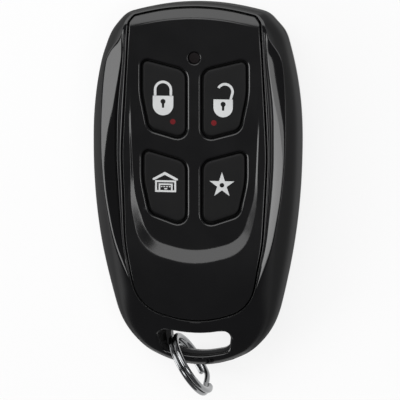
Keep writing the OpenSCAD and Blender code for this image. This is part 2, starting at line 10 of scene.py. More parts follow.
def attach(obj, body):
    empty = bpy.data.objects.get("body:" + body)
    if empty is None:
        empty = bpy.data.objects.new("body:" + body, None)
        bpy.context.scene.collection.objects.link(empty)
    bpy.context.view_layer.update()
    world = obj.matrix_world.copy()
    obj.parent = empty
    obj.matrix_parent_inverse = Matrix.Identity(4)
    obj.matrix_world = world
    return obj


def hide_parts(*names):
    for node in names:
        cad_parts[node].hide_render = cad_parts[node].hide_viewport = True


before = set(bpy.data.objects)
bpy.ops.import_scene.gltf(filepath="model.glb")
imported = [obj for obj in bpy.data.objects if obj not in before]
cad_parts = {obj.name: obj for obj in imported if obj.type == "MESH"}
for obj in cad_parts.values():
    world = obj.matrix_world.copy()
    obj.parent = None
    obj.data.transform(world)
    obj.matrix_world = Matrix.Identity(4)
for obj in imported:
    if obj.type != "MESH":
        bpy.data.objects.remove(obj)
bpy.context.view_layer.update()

# Sizes are in millimetres, as on the drawing; meshes are placed in metres
MM = 0.001
MERGE = 1e-7

# Steps of a fillet, of a fillet that others are measured against, of a straight side and of a turned cutter
ARC_STEPS = 6
FINE_STEPS = 25
STRAIGHT_STEPS = 4
TURNED_STEPS = 48
# Ends of the case's middle line, and lengths past any outline and above any face
MIDDLE_LOW = -14.0
MIDDLE_TOP = 26.0
PAST = 80.0
ABOVE = 30.0

# Case, fascia and its seat, keys, window, and the ring's slot
HALF_W = 19.0
HALF_L = 33.7
CREST_H = 12.3
SEAM_Z = 5.0
WALL = 1.9
EDGE_R = 3.5
EDGE_H = 4.0
TAIL_LIFT = 3.5
DISH_Z = 10.4
GROOVE = 0.25
SEAT_Z = 8.6
SEAT_W = 1.0
SEAT_EDGE = 0.1
POCKET_LOW = 9.0
KEY_GAP = 0.3
KEY_TOP = 10.15
LIP_R = 0.5
WINDOW_LIP_R = 0.36
LED_Y = 23.6
LED_R = 1.05
SLOT_W = 13.1
SLOT_LOW = -31.4
SLOT_TOP = -26.6


# Outlines: corners are (x, y, fillet radius), counter-clockwise from the tail
def both_sides(half):
    return half + [(-x, y, r) for x, y, r in reversed(half[1:-1])]


def spot(corners, i):
    return Vector(corners[i % len(corners)][:2])


def heading(corners, i, k):
    return (spot(corners, i + k) - spot(corners, i)).normalized()


def half_angle(corners, i):
    return heading(corners, i, -1).angle(heading(corners, i, 1)) / 2


def inward(corners, i):
    return (heading(corners, i, -1) + heading(corners, i, 1)).normalized()


def inset(corners, d):
    moved = []
    for i, corner in enumerate(corners):
        p = spot(corners, i) + inward(corners, i) * d / math.sin(half_angle(corners, i))
        moved.append((p.x, p.y, max(corner[2] - d, 0.1)))
    return moved


def fillet(corners, i, steps):
    def reach(k):
        return corners[k % len(corners)][2] / math.tan(half_angle(corners, k))

    def side(k):
        return (spot(corners, k + 1) - spot(corners, k)).length

    kept = min(1.0, side(i) / (reach(i) + reach(i + 1)), side(i - 1) / (reach(i) + reach(i - 1)))
    r = kept * corners[i][2]
    h = half_angle(corners, i)
    centre = spot(corners, i) + inward(corners, i) * r / math.sin(h)
    first = spot(corners, i) + heading(corners, i, -1) * r / math.tan(h) - centre
    last = spot(corners, i) + heading(corners, i, 1) * r / math.tan(h) - centre
    start = math.atan2(first.y, first.x)
    sweep = (math.atan2(last.y, last.x) - start + math.pi) % math.tau - math.pi
    angles = [start + sweep * k / steps for k in range(steps + 1)]
    return [centre + r * Vector((math.cos(a), math.sin(a))) for a in angles]


def outline(corners, steps=ARC_STEPS, gap=math.inf):
    """Points round the corners; a long straight side gets one about every gap."""
    bends = [fillet(corners, i, steps) for i in range(len(corners))]
    points = []
    for bend, following in zip(bends, bends[1:] + bends[:1]):
        spans = max(STRAIGHT_STEPS, round((following[0] - bend[-1]).length / gap))
        points += bend
        points += [bend[-1].lerp(following[0], k / spans) for k in range(1, spans)]
    return points


def between(a, b, t):
    return [p.lerp(q, t) for p, q in zip(a, b)]


def straight_out(points, corners):
    """Where lines from the middle of the case through the points meet an outline; level ones along the sides."""
    fence = outline(corners, FINE_STEPS)
    met = []
    for q in points:
        heart = Vector((0, max(MIDDLE_LOW, min(MIDDLE_TOP, q.y))))
        far = heart + (q - heart).normalized() * PAST
        hits = [intersect_line_line_2d(heart, far, a, b) for a, b in zip(fence, fence[1:] + fence[:1])]
        met.append(next(hit for hit in hits if hit))
    return met


def at_height(points, z):
    return [Vector((p.x, p.y, z)) for p in points]


CROWN_R = 42.0
CROWN_SLOPE = math.radians(15.2)
TAIL_R = 17.5
TAIL_SLOPE = math.radians(20.4)
CROWN_Y = HALF_L + CROWN_R * (1 / math.cos(CROWN_SLOPE) - 1)
TAIL_Y = -HALF_L - TAIL_R * (1 / math.cos(TAIL_SLOPE) - 1)
SHOULDER_X = HALF_W - 6.1
SHOULDER_Y = CROWN_Y - SHOULDER_X * math.tan(CROWN_SLOPE)
SHOULDER_CUT = 3.1
SHOULDER_SLOPE = math.radians(47.6)
FLANK_LOW = 27.6 - HALF_L
FLANK_TOP = HALF_L - 15.85
TAIL_X = HALF_W - 5.53
CASE = both_sides([
    (0, TAIL_Y, TAIL_R),
    (TAIL_X, TAIL_Y + TAIL_X * math.tan(TAIL_SLOPE), 14),
    (HALF_W, FLANK_LOW, 115),
    (HALF_W, FLANK_TOP, 60),
    (SHOULDER_X + SHOULDER_CUT, SHOULDER_Y - SHOULDER_CUT * math.tan(SHOULDER_SLOPE), 6),
    (SHOULDER_X, SHOULDER_Y, 4),
    (0, CROWN_Y, CROWN_R),
])
FASCIA_X = HALF_W - 5.7
FASCIA_TOP = HALF_L - 1.1
FASCIA_LOW = 9.0 - HALF_L
FASCIA = both_sides([
    (0, FASCIA_LOW - 0.7, 16),
    (FASCIA_X - 2.9, FASCIA_LOW + 2.7, 7),
    (FASCIA_X - 0.7, FASCIA_LOW + 14.7, 30),
    (FASCIA_X, FASCIA_LOW + 30.7, 60),
    (FASCIA_X - 1.35, FASCIA_TOP - 2.7, 1.2),
    (FASCIA_X - 2.2, FASCIA_TOP - 1.57, 1.2),
    (0, FASCIA_TOP + 1.6, 40),
])
DISH_RIM = both_sides([
    (0, FASCIA_LOW + 10.5, 15),
    (FASCIA_X - 3.6, FASCIA_LOW + 13.1, 6.5),
    (FASCIA_X - 1.4, FASCIA_LOW + 22.5, 20),
    (FASCIA_X - 1.1, FASCIA_LOW + 36.7, 60),
    (FASCIA_X - 1.55, FASCIA_TOP - 4.1, 1.2),
    (FASCIA_X - 2.3, FASCIA_TOP - 3.2, 1.2),
    (0, FASCIA_TOP - 0.55, 40),
])
DISH_FLOOR = both_sides([
    (0, FASCIA_LOW + 12.8, 14),
    (FASCIA_X - 4.7, FASCIA_LOW + 15.1, 5.5),
    (FASCIA_X - 2.5, FASCIA_LOW + 22.7, 20),
    (FASCIA_X - 1.8, FASCIA_LOW + 36.7, 60),
    (FASCIA_X - 1.75, FASCIA_TOP - 4.3, 1.2),
    (FASCIA_X - 2.45, FASCIA_TOP - 3.4, 1.2),
    (0, FASCIA_TOP - 0.72, 40),
])
SLOT = [
    (0, SLOT_LOW - 0.55, 14),
    (SLOT_W / 2 - 0.7, SLOT_LOW + 0.6, 1.7),
    (SLOT_W / 2, SLOT_TOP, 1.2),
    (0, SLOT_TOP - 0.2, 20),
    (-SLOT_W / 2, SLOT_TOP, 1.2),
    (0.7 - SLOT_W / 2, SLOT_LOW + 0.6, 1.7),
]
# The slot's mouth at the back, smaller than the one in front, so that the low wall shows from above
BACK_SLOT = [
    (0, SLOT_LOW + 0.05, 14),
    (SLOT_W / 2 - 0.7, SLOT_LOW + 1.2, 2.2),
    (SLOT_W / 2, SLOT_TOP, 1.5),
    (0, SLOT_TOP - 0.2, 20),
    (0.9 - SLOT_W / 2, SLOT_TOP, 1.2),
    (1.6 - SLOT_W / 2, SLOT_LOW + 1.2, 1.7),
]
WEB_X = 1.3
POCKET_W = 8.5
POCKET_L = 13.0
UPPER_Y = 8.5
LOWER_Y = -7.3
UPPER_POCKET = [
    (WEB_X, UPPER_Y, 1.8),
    (WEB_X + POCKET_W - 1.3, UPPER_Y + 2, 2.2),
    (WEB_X + POCKET_W + 0.05, UPPER_Y + 8.6, 14),
    (WEB_X + POCKET_W, UPPER_Y + POCKET_L + 2.1, 1.2),
    (WEB_X, UPPER_Y + POCKET_L, 2.2),
]
LOWER_POCKET = [
    (WEB_X, LOWER_Y, 1.8),
    (WEB_X + POCKET_W - 1.5, LOWER_Y + 2.45, 2.2),
    (WEB_X + POCKET_W - 0.15, LOWER_Y + 8.6, 14),
    (WEB_X + POCKET_W - 0.2, LOWER_Y + POCKET_L + 1.5, 1.2),
    (WEB_X, LOWER_Y + POCKET_L - 0.8, 2.2),
]


def left_hand(corners):
    return [(-x, y, r) for x, y, r in reversed(corners)]


POCKETS = {
    "lock": left_hand(UPPER_POCKET),
    "unlock": UPPER_POCKET,
    "garage": left_hand(LOWER_POCKET),
    "star": LOWER_POCKET,
}


# Heights of the case's long crown, the fascia's chin and top band, and the swept back
def smooth(v):
    c = max(0.0, min(1.0, v))
    return c * c * (3 - 2 * c)


CREST_Y = -2.0
CREST_TOP_R = 300.0
CREST_TAIL_R = 92.0


def crest(y):
    rise = y - CREST_Y
    return CREST_H - rise * rise / (2 * (CREST_TOP_R if rise > 0 else CREST_TAIL_R))


BAND_Y = FASCIA_TOP - 2.6
BAND_BOW_R = 60.0
BAND_ROLL = 1.5
BAND_SLOPE = math.radians(20)


def band_drop(p):
    d = p.y + p.x * p.x / (2 * BAND_BOW_R) - BAND_Y
    if d <= 0:
        return 0.0
    rolled = d * d / (2 * BAND_ROLL) if d < BAND_ROLL else d - BAND_ROLL / 2
    return rolled * math.tan(BAND_SLOPE)


# The chin rises in two ramps: height, start and length of each
CHIN_Y = FASCIA_LOW + 11
CHIN_RAMPS = [(0.21, CHIN_Y + 32, 14), (0.79, CHIN_Y + 15, 15)]
APRON_R = 30.0


def skin_z(p):
    chin = sum(height * smooth((start - p.y) / length) for height, start, length in CHIN_RAMPS)
    apron = (CHIN_Y - p.y) ** 2 / (2 * APRON_R) if p.y < CHIN_Y else 0.0
    return DISH_Z + chin - apron - band_drop(p)


SWEEP_Y = -16.0
BACK_EASE = 0.35
REST_X = HALF_W - EDGE_R - 1.5
REST_TOP = HALF_L - EDGE_R - 1.5
REST_CUT = 6.0
REST_POWER = 20
REST_MID = Vector((0, (REST_TOP + SWEEP_Y) / 2))


def back_z(y):
    sweep_r = (HALF_L + SWEEP_Y) ** 2 / (2 * TAIL_LIFT)
    return (SWEEP_Y - y) ** 2 / (2 * sweep_r) if y < SWEEP_Y else 0.0


def on_rest(p):
    """The resting face's rim on the way from its middle to p: an oblong with cut, softened corners."""
    u = p - REST_MID
    half_y = REST_TOP - REST_MID.y
    total = 0.0
    for a, b in ((1, 0), (0, 1), (1, 1)):
        side = a * REST_X + b * half_y - a * b * REST_CUT
        total += ((a * abs(u.x) + b * abs(u.y)) / side) ** REST_POWER
    return REST_MID + u * total ** (-1 / REST_POWER)


# Meshes: a loop of edges is placed on one outline and extruded to the next
def place(verts, ring):
    for v, p in zip(verts, ring):
        v.co = Vector(p) * MM


def loft(bm, rings, closed=False):
    """A skin through rings of equal length, in their order; a closed one joins the last ring to the first."""
    verts = bmesh.ops.create_circle(bm, segments=len(rings[0]), radius=MM, cap_ends=False)["verts"]
    edges = list({e for v in verts for e in v.link_edges})
    place(verts, rings[0])
    for ring in rings[1:] + (rings[:1] if closed else []):
        order = {v: i for i, v in enumerate(verts)}
        grown = bmesh.ops.extrude_edge_only(bm, edges=edges)["geom"]
        verts = [None] * len(ring)
        for v in (g for g in grown if isinstance(g, bmesh.types.BMVert)):
            for e in v.link_edges:
                if e.other_vert(v) in order:
                    verts[order[e.other_vert(v)]] = v
        edges = [g for g in grown if isinstance(g, bmesh.types.BMEdge)]
        place(verts, ring)
    bmesh.ops.remove_doubles(bm, verts=bm.verts, dist=MERGE)
    bmesh.ops.recalc_face_normals(bm, faces=bm.faces)
    return bm


def close_ends(bm):
    """Fills each open end of a loft with one flat face."""
    bmesh.ops.holes_fill(bm, edges=[e for e in bm.edges if e.is_boundary], sides=0)
    bmesh.ops.recalc_face_normals(bm, faces=bm.faces)
    return bm


def as_object(name, bm):
    mesh = bpy.data.meshes.new(name)
    bm.to_mesh(mesh)
    bm.free()
    obj = bpy.data.objects.new(name, mesh)
    bpy.context.scene.collection.objects.link(obj)
    return obj


def settle(obj, sharp=35.0):
    """Keeps the shape that the modifiers give, and shades it smooth up to an angle."""
    bpy.context.view_layer.update()
    done = obj.evaluated_get(bpy.context.evaluated_depsgraph_get())
    mesh = bpy.data.meshes.new_from_object(done)
    obj.modifiers.clear()
    old = obj.data
    obj.data = mesh
    mesh.name = obj.name
    bpy.data.meshes.remove(old)
    mesh.polygons.foreach_set("use_smooth", [True] * len(mesh.polygons))
    mesh.set_sharp_from_angle(angle=math.radians(sharp))
    return obj


def rounded(obj, levels=2):
    sub = obj.modifiers.new("rounding", "SUBSURF")
    sub.levels = sub.render_levels = levels
    settle(obj)
    bm = bmesh.new()
    bm.from_mesh(obj.data)
    close_ends(bm).to_mesh(obj.data)
    bm.free()
    return settle(obj)


def cut(obj, *cutters):
    for cutter in cutters:
        mod = obj.modifiers.new("cut", "BOOLEAN")
        mod.operation = "DIFFERENCE"
        mod.solver = "EXACT"
        mod.object = cutter
    settle(obj)
    for cutter in cutters:
        bpy.data.objects.remove(cutter)
    return obj


def even_shading(obj):
    mod = obj.modifiers.new("even_shading", "WEIGHTED_NORMAL")
    mod.weight = 100
    mod.keep_sharp = True
    return settle(obj)


def dress(obj, material, body, slot, *nodes):
    obj.data.materials.clear()
    obj.data.materials.append(material)
    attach(obj, body)
    if nodes:
        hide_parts(*nodes)
    return obj


def lofted_cutter(name, rings):
    return as_object(name, close_ends(loft(bmesh.new(), rings)))


# Finishes
GRAIN_H = 0.02
MOTTLE_SCALE = 160.0
TONE_RANGE = (0.35, 0.65)
# Where a surface faces outward (its x times its normal's x, in metres) and where it is steep (its normal's z)
OUTWARD_RANGE = (0.001, 0.006)
STEEP_RANGE = (0.7, 0.3)


def new_material(name):
    mat = bpy.data.materials.new(name)
    mat.use_nodes = True
    nodes, links = mat.node_tree.nodes, mat.node_tree.links
    return mat, nodes, links, nodes["Principled BSDF"]


def grain_group():
    """Moulded grain: a fine bump and a slow drift of roughness."""
    group = bpy.data.node_groups.new("moulded_grain", "ShaderNodeTree")
    face = group.interface
    for name, value in (("Scale", 4000.0), ("Depth", 0.1), ("Roughness", 0.4), ("Drift", 0.06)):
        face.new_socket(name, in_out="INPUT", socket_type="NodeSocketFloat").default_value = value
    face.new_socket("Roughness", in_out="OUTPUT", socket_type="NodeSocketFloat")
    face.new_socket("Normal", in_out="OUTPUT", socket_type="NodeSocketVector")
    face.new_socket("Mottle", in_out="OUTPUT", socket_type="NodeSocketFloat")
    nodes, links = group.nodes, group.links
    given, result = nodes.new("NodeGroupInput"), nodes.new("NodeGroupOutput")
    where = nodes.new("ShaderNodeTexCoord")
    fine, slow = nodes.new("ShaderNodeTexNoise"), nodes.new("ShaderNodeTexNoise")
    bump = nodes.new("ShaderNodeBump")
    drift, total = nodes.new("ShaderNodeMath"), nodes.new("ShaderNodeMath")
    centred = nodes.new("ShaderNodeMath")
    fine.inputs["Detail"].default_value = 3.0
    slow.inputs["Scale"].default_value = MOTTLE_SCALE
    slow.inputs["Detail"].default_value = 4.0
    bump.inputs["Distance"].default_value = GRAIN_H * MM
    centred.operation = "SUBTRACT"
    centred.inputs[1].default_value = 0.5
    drift.operation, total.operation = "MULTIPLY", "ADD"
    links.new(where.outputs["Object"], fine.inputs["Vector"])
    links.new(where.outputs["Object"], slow.inputs["Vector"])
    links.new(given.outputs["Scale"], fine.inputs["Scale"])
    links.new(given.outputs["Depth"], bump.inputs["Strength"])
    links.new(fine.outputs["Fac"], bump.inputs["Height"])
    links.new(slow.outputs["Fac"], centred.inputs[0])
    links.new(centred.outputs[0], drift.inputs[0])
    links.new(given.outputs["Drift"], drift.inputs[1])
    links.new(drift.outputs[0], total.inputs[0])
    links.new(given.outputs["Roughness"], total.inputs[1])
    links.new(total.outputs[0], result.inputs["Roughness"])
    links.new(bump.outputs["Normal"], result.inputs["Normal"])
    links.new(slow.outputs["Fac"], result.inputs["Mottle"])
    return group


GRAIN = grain_group()


def roughen_sides(nodes, links, bsdf, grain, side_roughness):
    """Makes steep and outward sides rougher than the grain does."""
    where = nodes.new("ShaderNodeTexCoord")
    spread, facing = nodes.new("ShaderNodeSeparateXYZ"), nodes.new("ShaderNodeSeparateXYZ")
    outward = nodes.new("ShaderNodeMath")
    outward.operation = "MULTIPLY"
    side, steep = nodes.new("ShaderNodeMapRange"), nodes.new("ShaderNodeMapRange")
    for mask, (low, high) in ((side, OUTWARD_RANGE), (steep, STEEP_RANGE)):
        mask.inputs["From Min"].default_value = low
        mask.inputs["From Max"].default_value = high
        mask.inputs["To Max"].default_value = side_roughness
    either, rougher = nodes.new("ShaderNodeMath"), nodes.new("ShaderNodeMath")
    either.operation = rougher.operation = "MAXIMUM"
    links.new(where.outputs["Object"], spread.inputs["Vector"])
    links.new(where.outputs["Normal"], facing.inputs["Vector"])
    links.new(spread.outputs["X"], outward.inputs[0])
    links.new(facing.outputs["X"], outward.inputs[1])
    links.new(outward.outputs[0], side.inputs["Value"])
    links.new(facing.outputs["Z"], steep.inputs["Value"])
    links.new(side.outputs["Result"], either.inputs[0])
    links.new(steep.outputs["Result"], either.inputs[1])
    links.new(either.outputs[0], rougher.inputs[0])
    links.new(grain.outputs["Roughness"], rougher.inputs[1])
    links.new(rougher.outputs[0], bsdf.inputs["Roughness"])


def moulded(name, dark, light, roughness, scale=4000.0, depth=0.1, drift=0.06, metallic=0.0, specular=0.5,
            side_roughness=None):
    """A finish whose colour drifts between two close tones over the moulded grain."""
    mat, nodes, links, bsdf = new_material(name)
    grain = nodes.new("ShaderNodeGroup")
    grain.node_tree = GRAIN
    for socket, value in (("Scale", scale), ("Depth", depth), ("Roughness", roughness), ("Drift", drift)):
        grain.inputs[socket].default_value = value
    tone = nodes.new("ShaderNodeValToRGB")
    for mark, at, colour in zip(tone.color_ramp.elements, TONE_RANGE, (dark, light)):
        mark.position = at
        mark.color = (*colour, 1)
    links.new(grain.outputs["Mottle"], tone.inputs["Fac"])
    links.new(tone.outputs["Color"], bsdf.inputs["Base Color"])
    links.new(grain.outputs["Roughness"], bsdf.inputs["Roughness"])
    links.new(grain.outputs["Normal"], bsdf.inputs["Normal"])
    if side_roughness:
        roughen_sides(nodes, links, bsdf, grain, side_roughness)
    bsdf.inputs["Metallic"].default_value = metallic
    bsdf.inputs["Specular IOR Level"].default_value = specular
    return mat


# Each finish: its two tones, its roughness, and the grain's scale and depth
GLOSS_BLACK = moulded("gloss_black_case", (0.0022, 0.0022, 0.0025), (0.003, 0.003, 0.0034), 0.07, 900, 0.02, 0.02,
                      side_roughness=0.8)
REAR_BLACK = moulded("textured_black_back", (0.009, 0.009, 0.010), (0.013, 0.013, 0.014), 0.42, 2600, 0.35)
SATIN_BLACK = moulded("satin_black_fascia", (0.0025, 0.0025, 0.0028), (0.0035, 0.0035, 0.0038), 0.2, 5200, 0.12)
SILICONE = moulded("dark_silicone", (0.0046, 0.0046, 0.0048), (0.0062, 0.0062, 0.0064), 0.5, 4200, 0.2, specular=0.18)
INK_WHITE = moulded("light_grey_ink", (0.6, 0.61, 0.61), (0.68, 0.69, 0.69), 0.55, 6000, 0.12, specular=0.3)
INK_RED = moulded("dark_red_ink", (0.125, 0.004, 0.007), (0.18, 0.006, 0.009), 0.55, 6000, 0.12, specular=0.2)
RING_CHROME = moulded("bright_ring_wire", (0.23, 0.235, 0.24), (0.29, 0.295, 0.3), 0.12, 1500, 0.05, 0.05, metallic=1.0)
LENS = moulded("dark_red_lens", (0.0035, 0.0022, 0.0023), (0.005, 0.0028, 0.003), 0.2, 1200, 0.02)
NICKEL = moulded("nickel_plate", (0.50, 0.50, 0.49), (0.62, 0.62, 0.61), 0.28, 1800, 0.1, metallic=1.0)
TINNED = moulded("tinned_spring", (0.52, 0.50, 0.44), (0.66, 0.64, 0.57), 0.33, 1800, 0.1, metallic=1.0)
DOME_GOLD = moulded("plated_dome", (0.66, 0.46, 0.17), (0.80, 0.58, 0.25), 0.22, 1800, 0.05, metallic=1.0)
COPPER = moulded("copper_track", (0.40, 0.13, 0.04), (0.52, 0.20, 0.07), 0.35, 1800, 0.1, metallic=1.0)
BOARD_GREEN = moulded("green_solder_mask", (0.008, 0.075, 0.026), (0.016, 0.115, 0.04), 0.38, 1600, 0.15)
SWITCH_GREY = moulded("dark_grey_moulding", (0.028, 0.030, 0.034), (0.038, 0.040, 0.045), 0.5, 3000, 0.15)
PLUNGER_WHITE = moulded("white_moulding", (0.72, 0.72, 0.69), (0.80, 0.80, 0.77), 0.45, 3000, 0.12)
CHIP_BLACK = moulded("moulded_epoxy", (0.008, 0.008, 0.009), (0.012, 0.012, 0.013), 0.6, 3500, 0.3)
CERAMIC = moulded("tan_ceramic", (0.21, 0.14, 0.08), (0.28, 0.19, 0.12), 0.55, 3500, 0.2)
MILKY = moulded("milky_resin", (0.78, 0.75, 0.62), (0.86, 0.84, 0.73), 0.25, 2500, 0.05)

NODE_FINISHES = {
    "keypad_mat": SILICONE, "switch_bases": SWITCH_GREY, "circuit_board": BOARD_GREEN,
    "indicator_led": MILKY, "transmitter_chip": CHIP_BLACK, "timing_crystal": NICKEL,
    "chip_passives": CERAMIC, "antenna_loop": COPPER, "coin_cell": NICKEL,
    "positive_clip": TINNED, "negative_contact": TINNED, "case_screw": NICKEL,
}
for key in POCKETS:
    NODE_FINISHES[key + "_plunger"] = PLUNGER_WHITE
    NODE_FINISHES[key + "_dome"] = DOME_GOLD
for node, finish in NODE_FINISHES.items():
    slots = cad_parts[node].data.materials
    slots.clear()
    slots.append(finish)


# Front shell: side wall, rounded outer side, ridge and inner facet of the rails, and the groove round the fascia
# Outer side: place between the case's edge and the ridge, share of the ridge's height
OUTER_SECTION = [
    (0.01, 0.25), (0.03, 0.44), (0.07, 0.61), (0.14, 0.73), (0.24, 0.805),
    (0.4, 0.872), (0.62, 0.934), (0.82, 0.974), (0.96, 0.996),
]
# Inner facet: place between the ridge and the facet's foot, share of the facet's fall
FACET = [(0.04, 0.028), (0.2, 0.15), (0.4, 0.32), (0.6, 0.52), (0.8, 0.745), (0.97, 0.955)]
# Step at the facet's foot: place between the foot and the groove, share of the fall, share of the step's depth
STEP = [(0.04, 0.1, 0.05), (0.16, 0.5, 0.8), (0.3, 0.8, 1), (0.46, 0.85, 1), (0.56, 0.9, 0), (0.93, 1.0, 0)]
# Along the rail: y, the places of the ridge and of the foot between the case's edge and the groove, the facet's fall
RAIL_LINES = [
    (-18.2, 0.94, 0.97, 0.03), (-10.8, 0.66, 0.885, 0.6), (-2.0, 0.47, 0.82, 1.2), (2.4, 0.425, 0.8, 1.28),
    (7.1, 0.385, 0.785, 1.18), (14.7, 0.34, 0.745, 0.87), (23.0, 0.265, 0.82, 0.85), (24.6, 0.33, 0.81, 0.7),
    (26.0, 0.52, 0.77, 0.32), (27.1, 0.71, 0.73, 0.02),
]
RAIL_GAP = 1.2
STEP_DEPTH = 0.3
STEP_FADE_Y = -18.0
STEP_FADE_L = 8.0
GROOVE_EDGE = 0.2
SEAM_BEVEL = 0.12
# The rails sink into the narrow rim at the top: where they are level with it, and over what length
RIM_Y = 29.4
RIM_L = 6.4


def rail_lines(y):
    """The ridge's place, the foot's place and the facet's fall at y, on cubics through RAIL_LINES."""
    rows = RAIL_LINES
    y = min(max(y, rows[0][0]), rows[-1][0])
    k = max(i for i, row in enumerate(rows[:-1]) if row[0] <= y)
    step = rows[k + 1][0] - rows[k][0]
    t = (y - rows[k][0]) / step

    def slope(i, column):
        low, high = rows[max(i - 1, 0)], rows[min(i + 1, len(rows) - 1)]
        return (high[column] - low[column]) / (high[0] - low[0])

    def value(column):
        a, b = rows[k][column], rows[k + 1][column]
        start, end = slope(k, column) * step, slope(k + 1, column) * step
        return a + start * t + (3 * (b - a) - 2 * start - end) * t ** 2 + (2 * (a - b) + start + end) * t ** 3

    return value(1), value(2), value(3)


def facet_fall(y):
    return rail_lines(y)[2]


def front_shell():
    opening = outline(inset(FASCIA, -GROOVE), gap=RAIL_GAP)
    outer = straight_out(opening, CASE)
    window = outline(inset(FASCIA, SEAT_W), gap=RAIL_GAP)
    middle = between(outer, opening, 0.5)
    lines = [rail_lines(m.y) for m in middle]

    # 1 along the rails and the tail, 0 along the narrow rim at the top, which follows the fascia's band
    full = [smooth((RIM_Y - m.y) / RIM_L) for m in middle]

    def sunk(at, rail, share):
        return rail * share + skin_z(at) * (1 - share)

    def outside(along, up):
        ring = []
        for p, q, share, (ridge, _, _) in zip(outer, opening, full, lines):
            at = p.lerp(q, along * ridge)
            top = sunk(at, crest(at.y), share)
            ring.append(Vector((at.x, at.y, SEAM_Z + (top - SEAM_Z) * up)))
        return ring

    def facet(along, down):
        ring = []
        for p, q, share, (ridge, foot, _) in zip(outer, opening, full, lines):
            at = p.lerp(q, ridge + (foot - ridge) * along)
            rail = crest(at.y) - facet_fall(at.y) * down
            ring.append(Vector((at.x, at.y, sunk(at, rail, share))))
        return ring

    def step(along, down, deep):
        ring = []
        for p, q, share, (_, foot, _) in zip(outer, opening, full, lines):
            at = p.lerp(q, foot + (1 - foot) * along)
            depth = deep * STEP_DEPTH * max(0.0, min(1.0, (at.y - STEP_FADE_Y) / STEP_FADE_L))
            rail = (crest(at.y) - facet_fall(at.y)) * (1 - down) + skin_z(q) * down - depth
            ring.append(Vector((at.x, at.y, sunk(at, rail, share))))
        return ring

    edge = [Vector((q.x, q.y, skin_z(q) - GROOVE_EDGE)) for q in opening]
    rings = [at_height(straight_out(opening, inset(CASE, SEAM_BEVEL)), SEAM_Z)]
    rings += [at_height(outer, SEAM_Z + k * SEAM_BEVEL) for k in (1, 2)]
    rings += [outside(*s) for s in OUTER_SECTION]
    rings += [facet(*s) for s in FACET]
    rings += [step(*s) for s in STEP]
    rings += [edge, at_height(opening, SEAT_Z + SEAT_EDGE), at_height(opening, SEAT_Z)]
    rings += [at_height(window, SEAT_Z), at_height(window, SEAM_Z)]
    return rounded(as_object("front_shell", loft(bmesh.new(), rings, closed=True)))


# The slot's mouth: turns of its rounding in degrees, and heights to which the cutter goes on above the face
MOUTH_TURNS = (0, 22, 45, 67, 85)
MOUTH_RISE = (0.05, 2)


def slot_cutter(name, shell, corners, facing, mouth_r, stretch):
    """A cutter for the ring slot, rounded by mouth_r at the shell's face and drawn out there to the left by stretch."""
    bm = bmesh.new()
    bm.from_mesh(shell.data)
    tree = BVHTree.FromBMesh(bm)
    bm.free()
    far = ABOVE * facing

    def face_z(p):
        hit = tree.ray_cast(Vector((p.x, p.y, far)) * MM, Vector((0, 0, -facing)))[0]
        return hit.z / MM

    def widened(out, share):
        points = outline(inset(corners, -out))
        return [Vector((p.x + stretch * share * min(0, p.x) / SLOT_W, p.y, 0)) for p in points]

    rings = [at_height(widened(0, 0), SEAM_Z - facing), at_height(widened(0, 0), SEAM_Z)]
    for a in map(math.radians, MOUTH_TURNS):
        flare = widened(mouth_r * (1 - math.cos(a)), 1)
        rings.append([Vector((p.x, p.y, face_z(p) - facing * mouth_r * (1 - math.sin(a)))) for p in flare])
    wide = widened(mouth_r, 1)
    rings += [[Vector((p.x, p.y, face_z(p) + facing * d)) for p in wide] for d in MOUTH_RISE]
    return lofted_cutter(name, rings)


shell = front_shell()
cut(shell, slot_cutter("slot_cutter", shell, SLOT, facing=1, mouth_r=0.7, stretch=1.6))
dress(even_shading(shell), GLOSS_BLACK, "case", "gloss_housing", "front_housing")


# Rear shell: flat back, rounded edge and swept-up tail, with the screw's counterbore
SCREW_Y = FASCIA_LOW + 4.3
SCREW_HOLE_R = 2.05
# The screw's hole: radius and height up its axis
SCREW_HOLE = [(2.6, -1), (2.35, 0.14), (SCREW_HOLE_R, 0.5), (SCREW_HOLE_R, 1.9)]
# Shares of the way in from the edge's foot to the resting face, of the way on to the ring that is filled flat, and
# of the edge's quarter turn
REST_EASE = (0.9, 0.66, 0.33, 0)
REST_FILL = 0.04
EDGE_TURN = (0.2, 0.4, 0.6, 0.8, 1.0)


def rear_shell():
    low = outline(inset(CASE, EDGE_R))
    flat = [on_rest(p) for p in low]

    def lifted(points, ease, share):
        return [Vector((p.x, p.y, (back_z(p.y) + ease) * (1 - share) + SEAM_Z * share)) for p in points]

    rings = [at_height(between(flat, [REST_MID] * len(flat), REST_FILL), 0), at_height(flat, 0)]
    rings += [lifted(between(low, flat, t), BACK_EASE * (1 - t), 0) for t in REST_EASE]
    for turn in EDGE_TURN:
        a = math.radians(90 * turn)
        ring = outline(inset(CASE, EDGE_R * (1 - math.sin(a))))
        rings.append(lifted(ring, BACK_EASE, (1 - math.cos(a)) * EDGE_H / SEAM_Z))
    rings += [at_height(outline(CASE), SEAM_Z - k * SEAM_BEVEL) for k in (2, 1)]
    rings += [at_height(outline(inset(CASE, d)), SEAM_Z) for d in (SEAM_BEVEL, WALL)]
    return rounded(as_object("rear_shell", loft(bmesh.new(), rings)))


def turned(x, y, section, sides):
    """Rings of a turned shape: section is (radius, height) up its axis."""
    circle = [(math.cos(k * math.tau / sides), math.sin(k * math.tau / sides)) for k in range(sides)]
    return [[Vector((x + r * c, y + r * s, z)) for c, s in circle] for r, z in section]


back = rear_shell()
cut(back, slot_cutter("slot_cutter", back, BACK_SLOT, facing=-1, mouth_r=0.8, stretch=0))
cut(back, lofted_cutter("screw_cutter", turned(0, SCREW_Y, SCREW_HOLE, TURNED_STEPS)))
dress(even_shading(back), REAR_BLACK, "case", "rear_shell", "rear_housing")


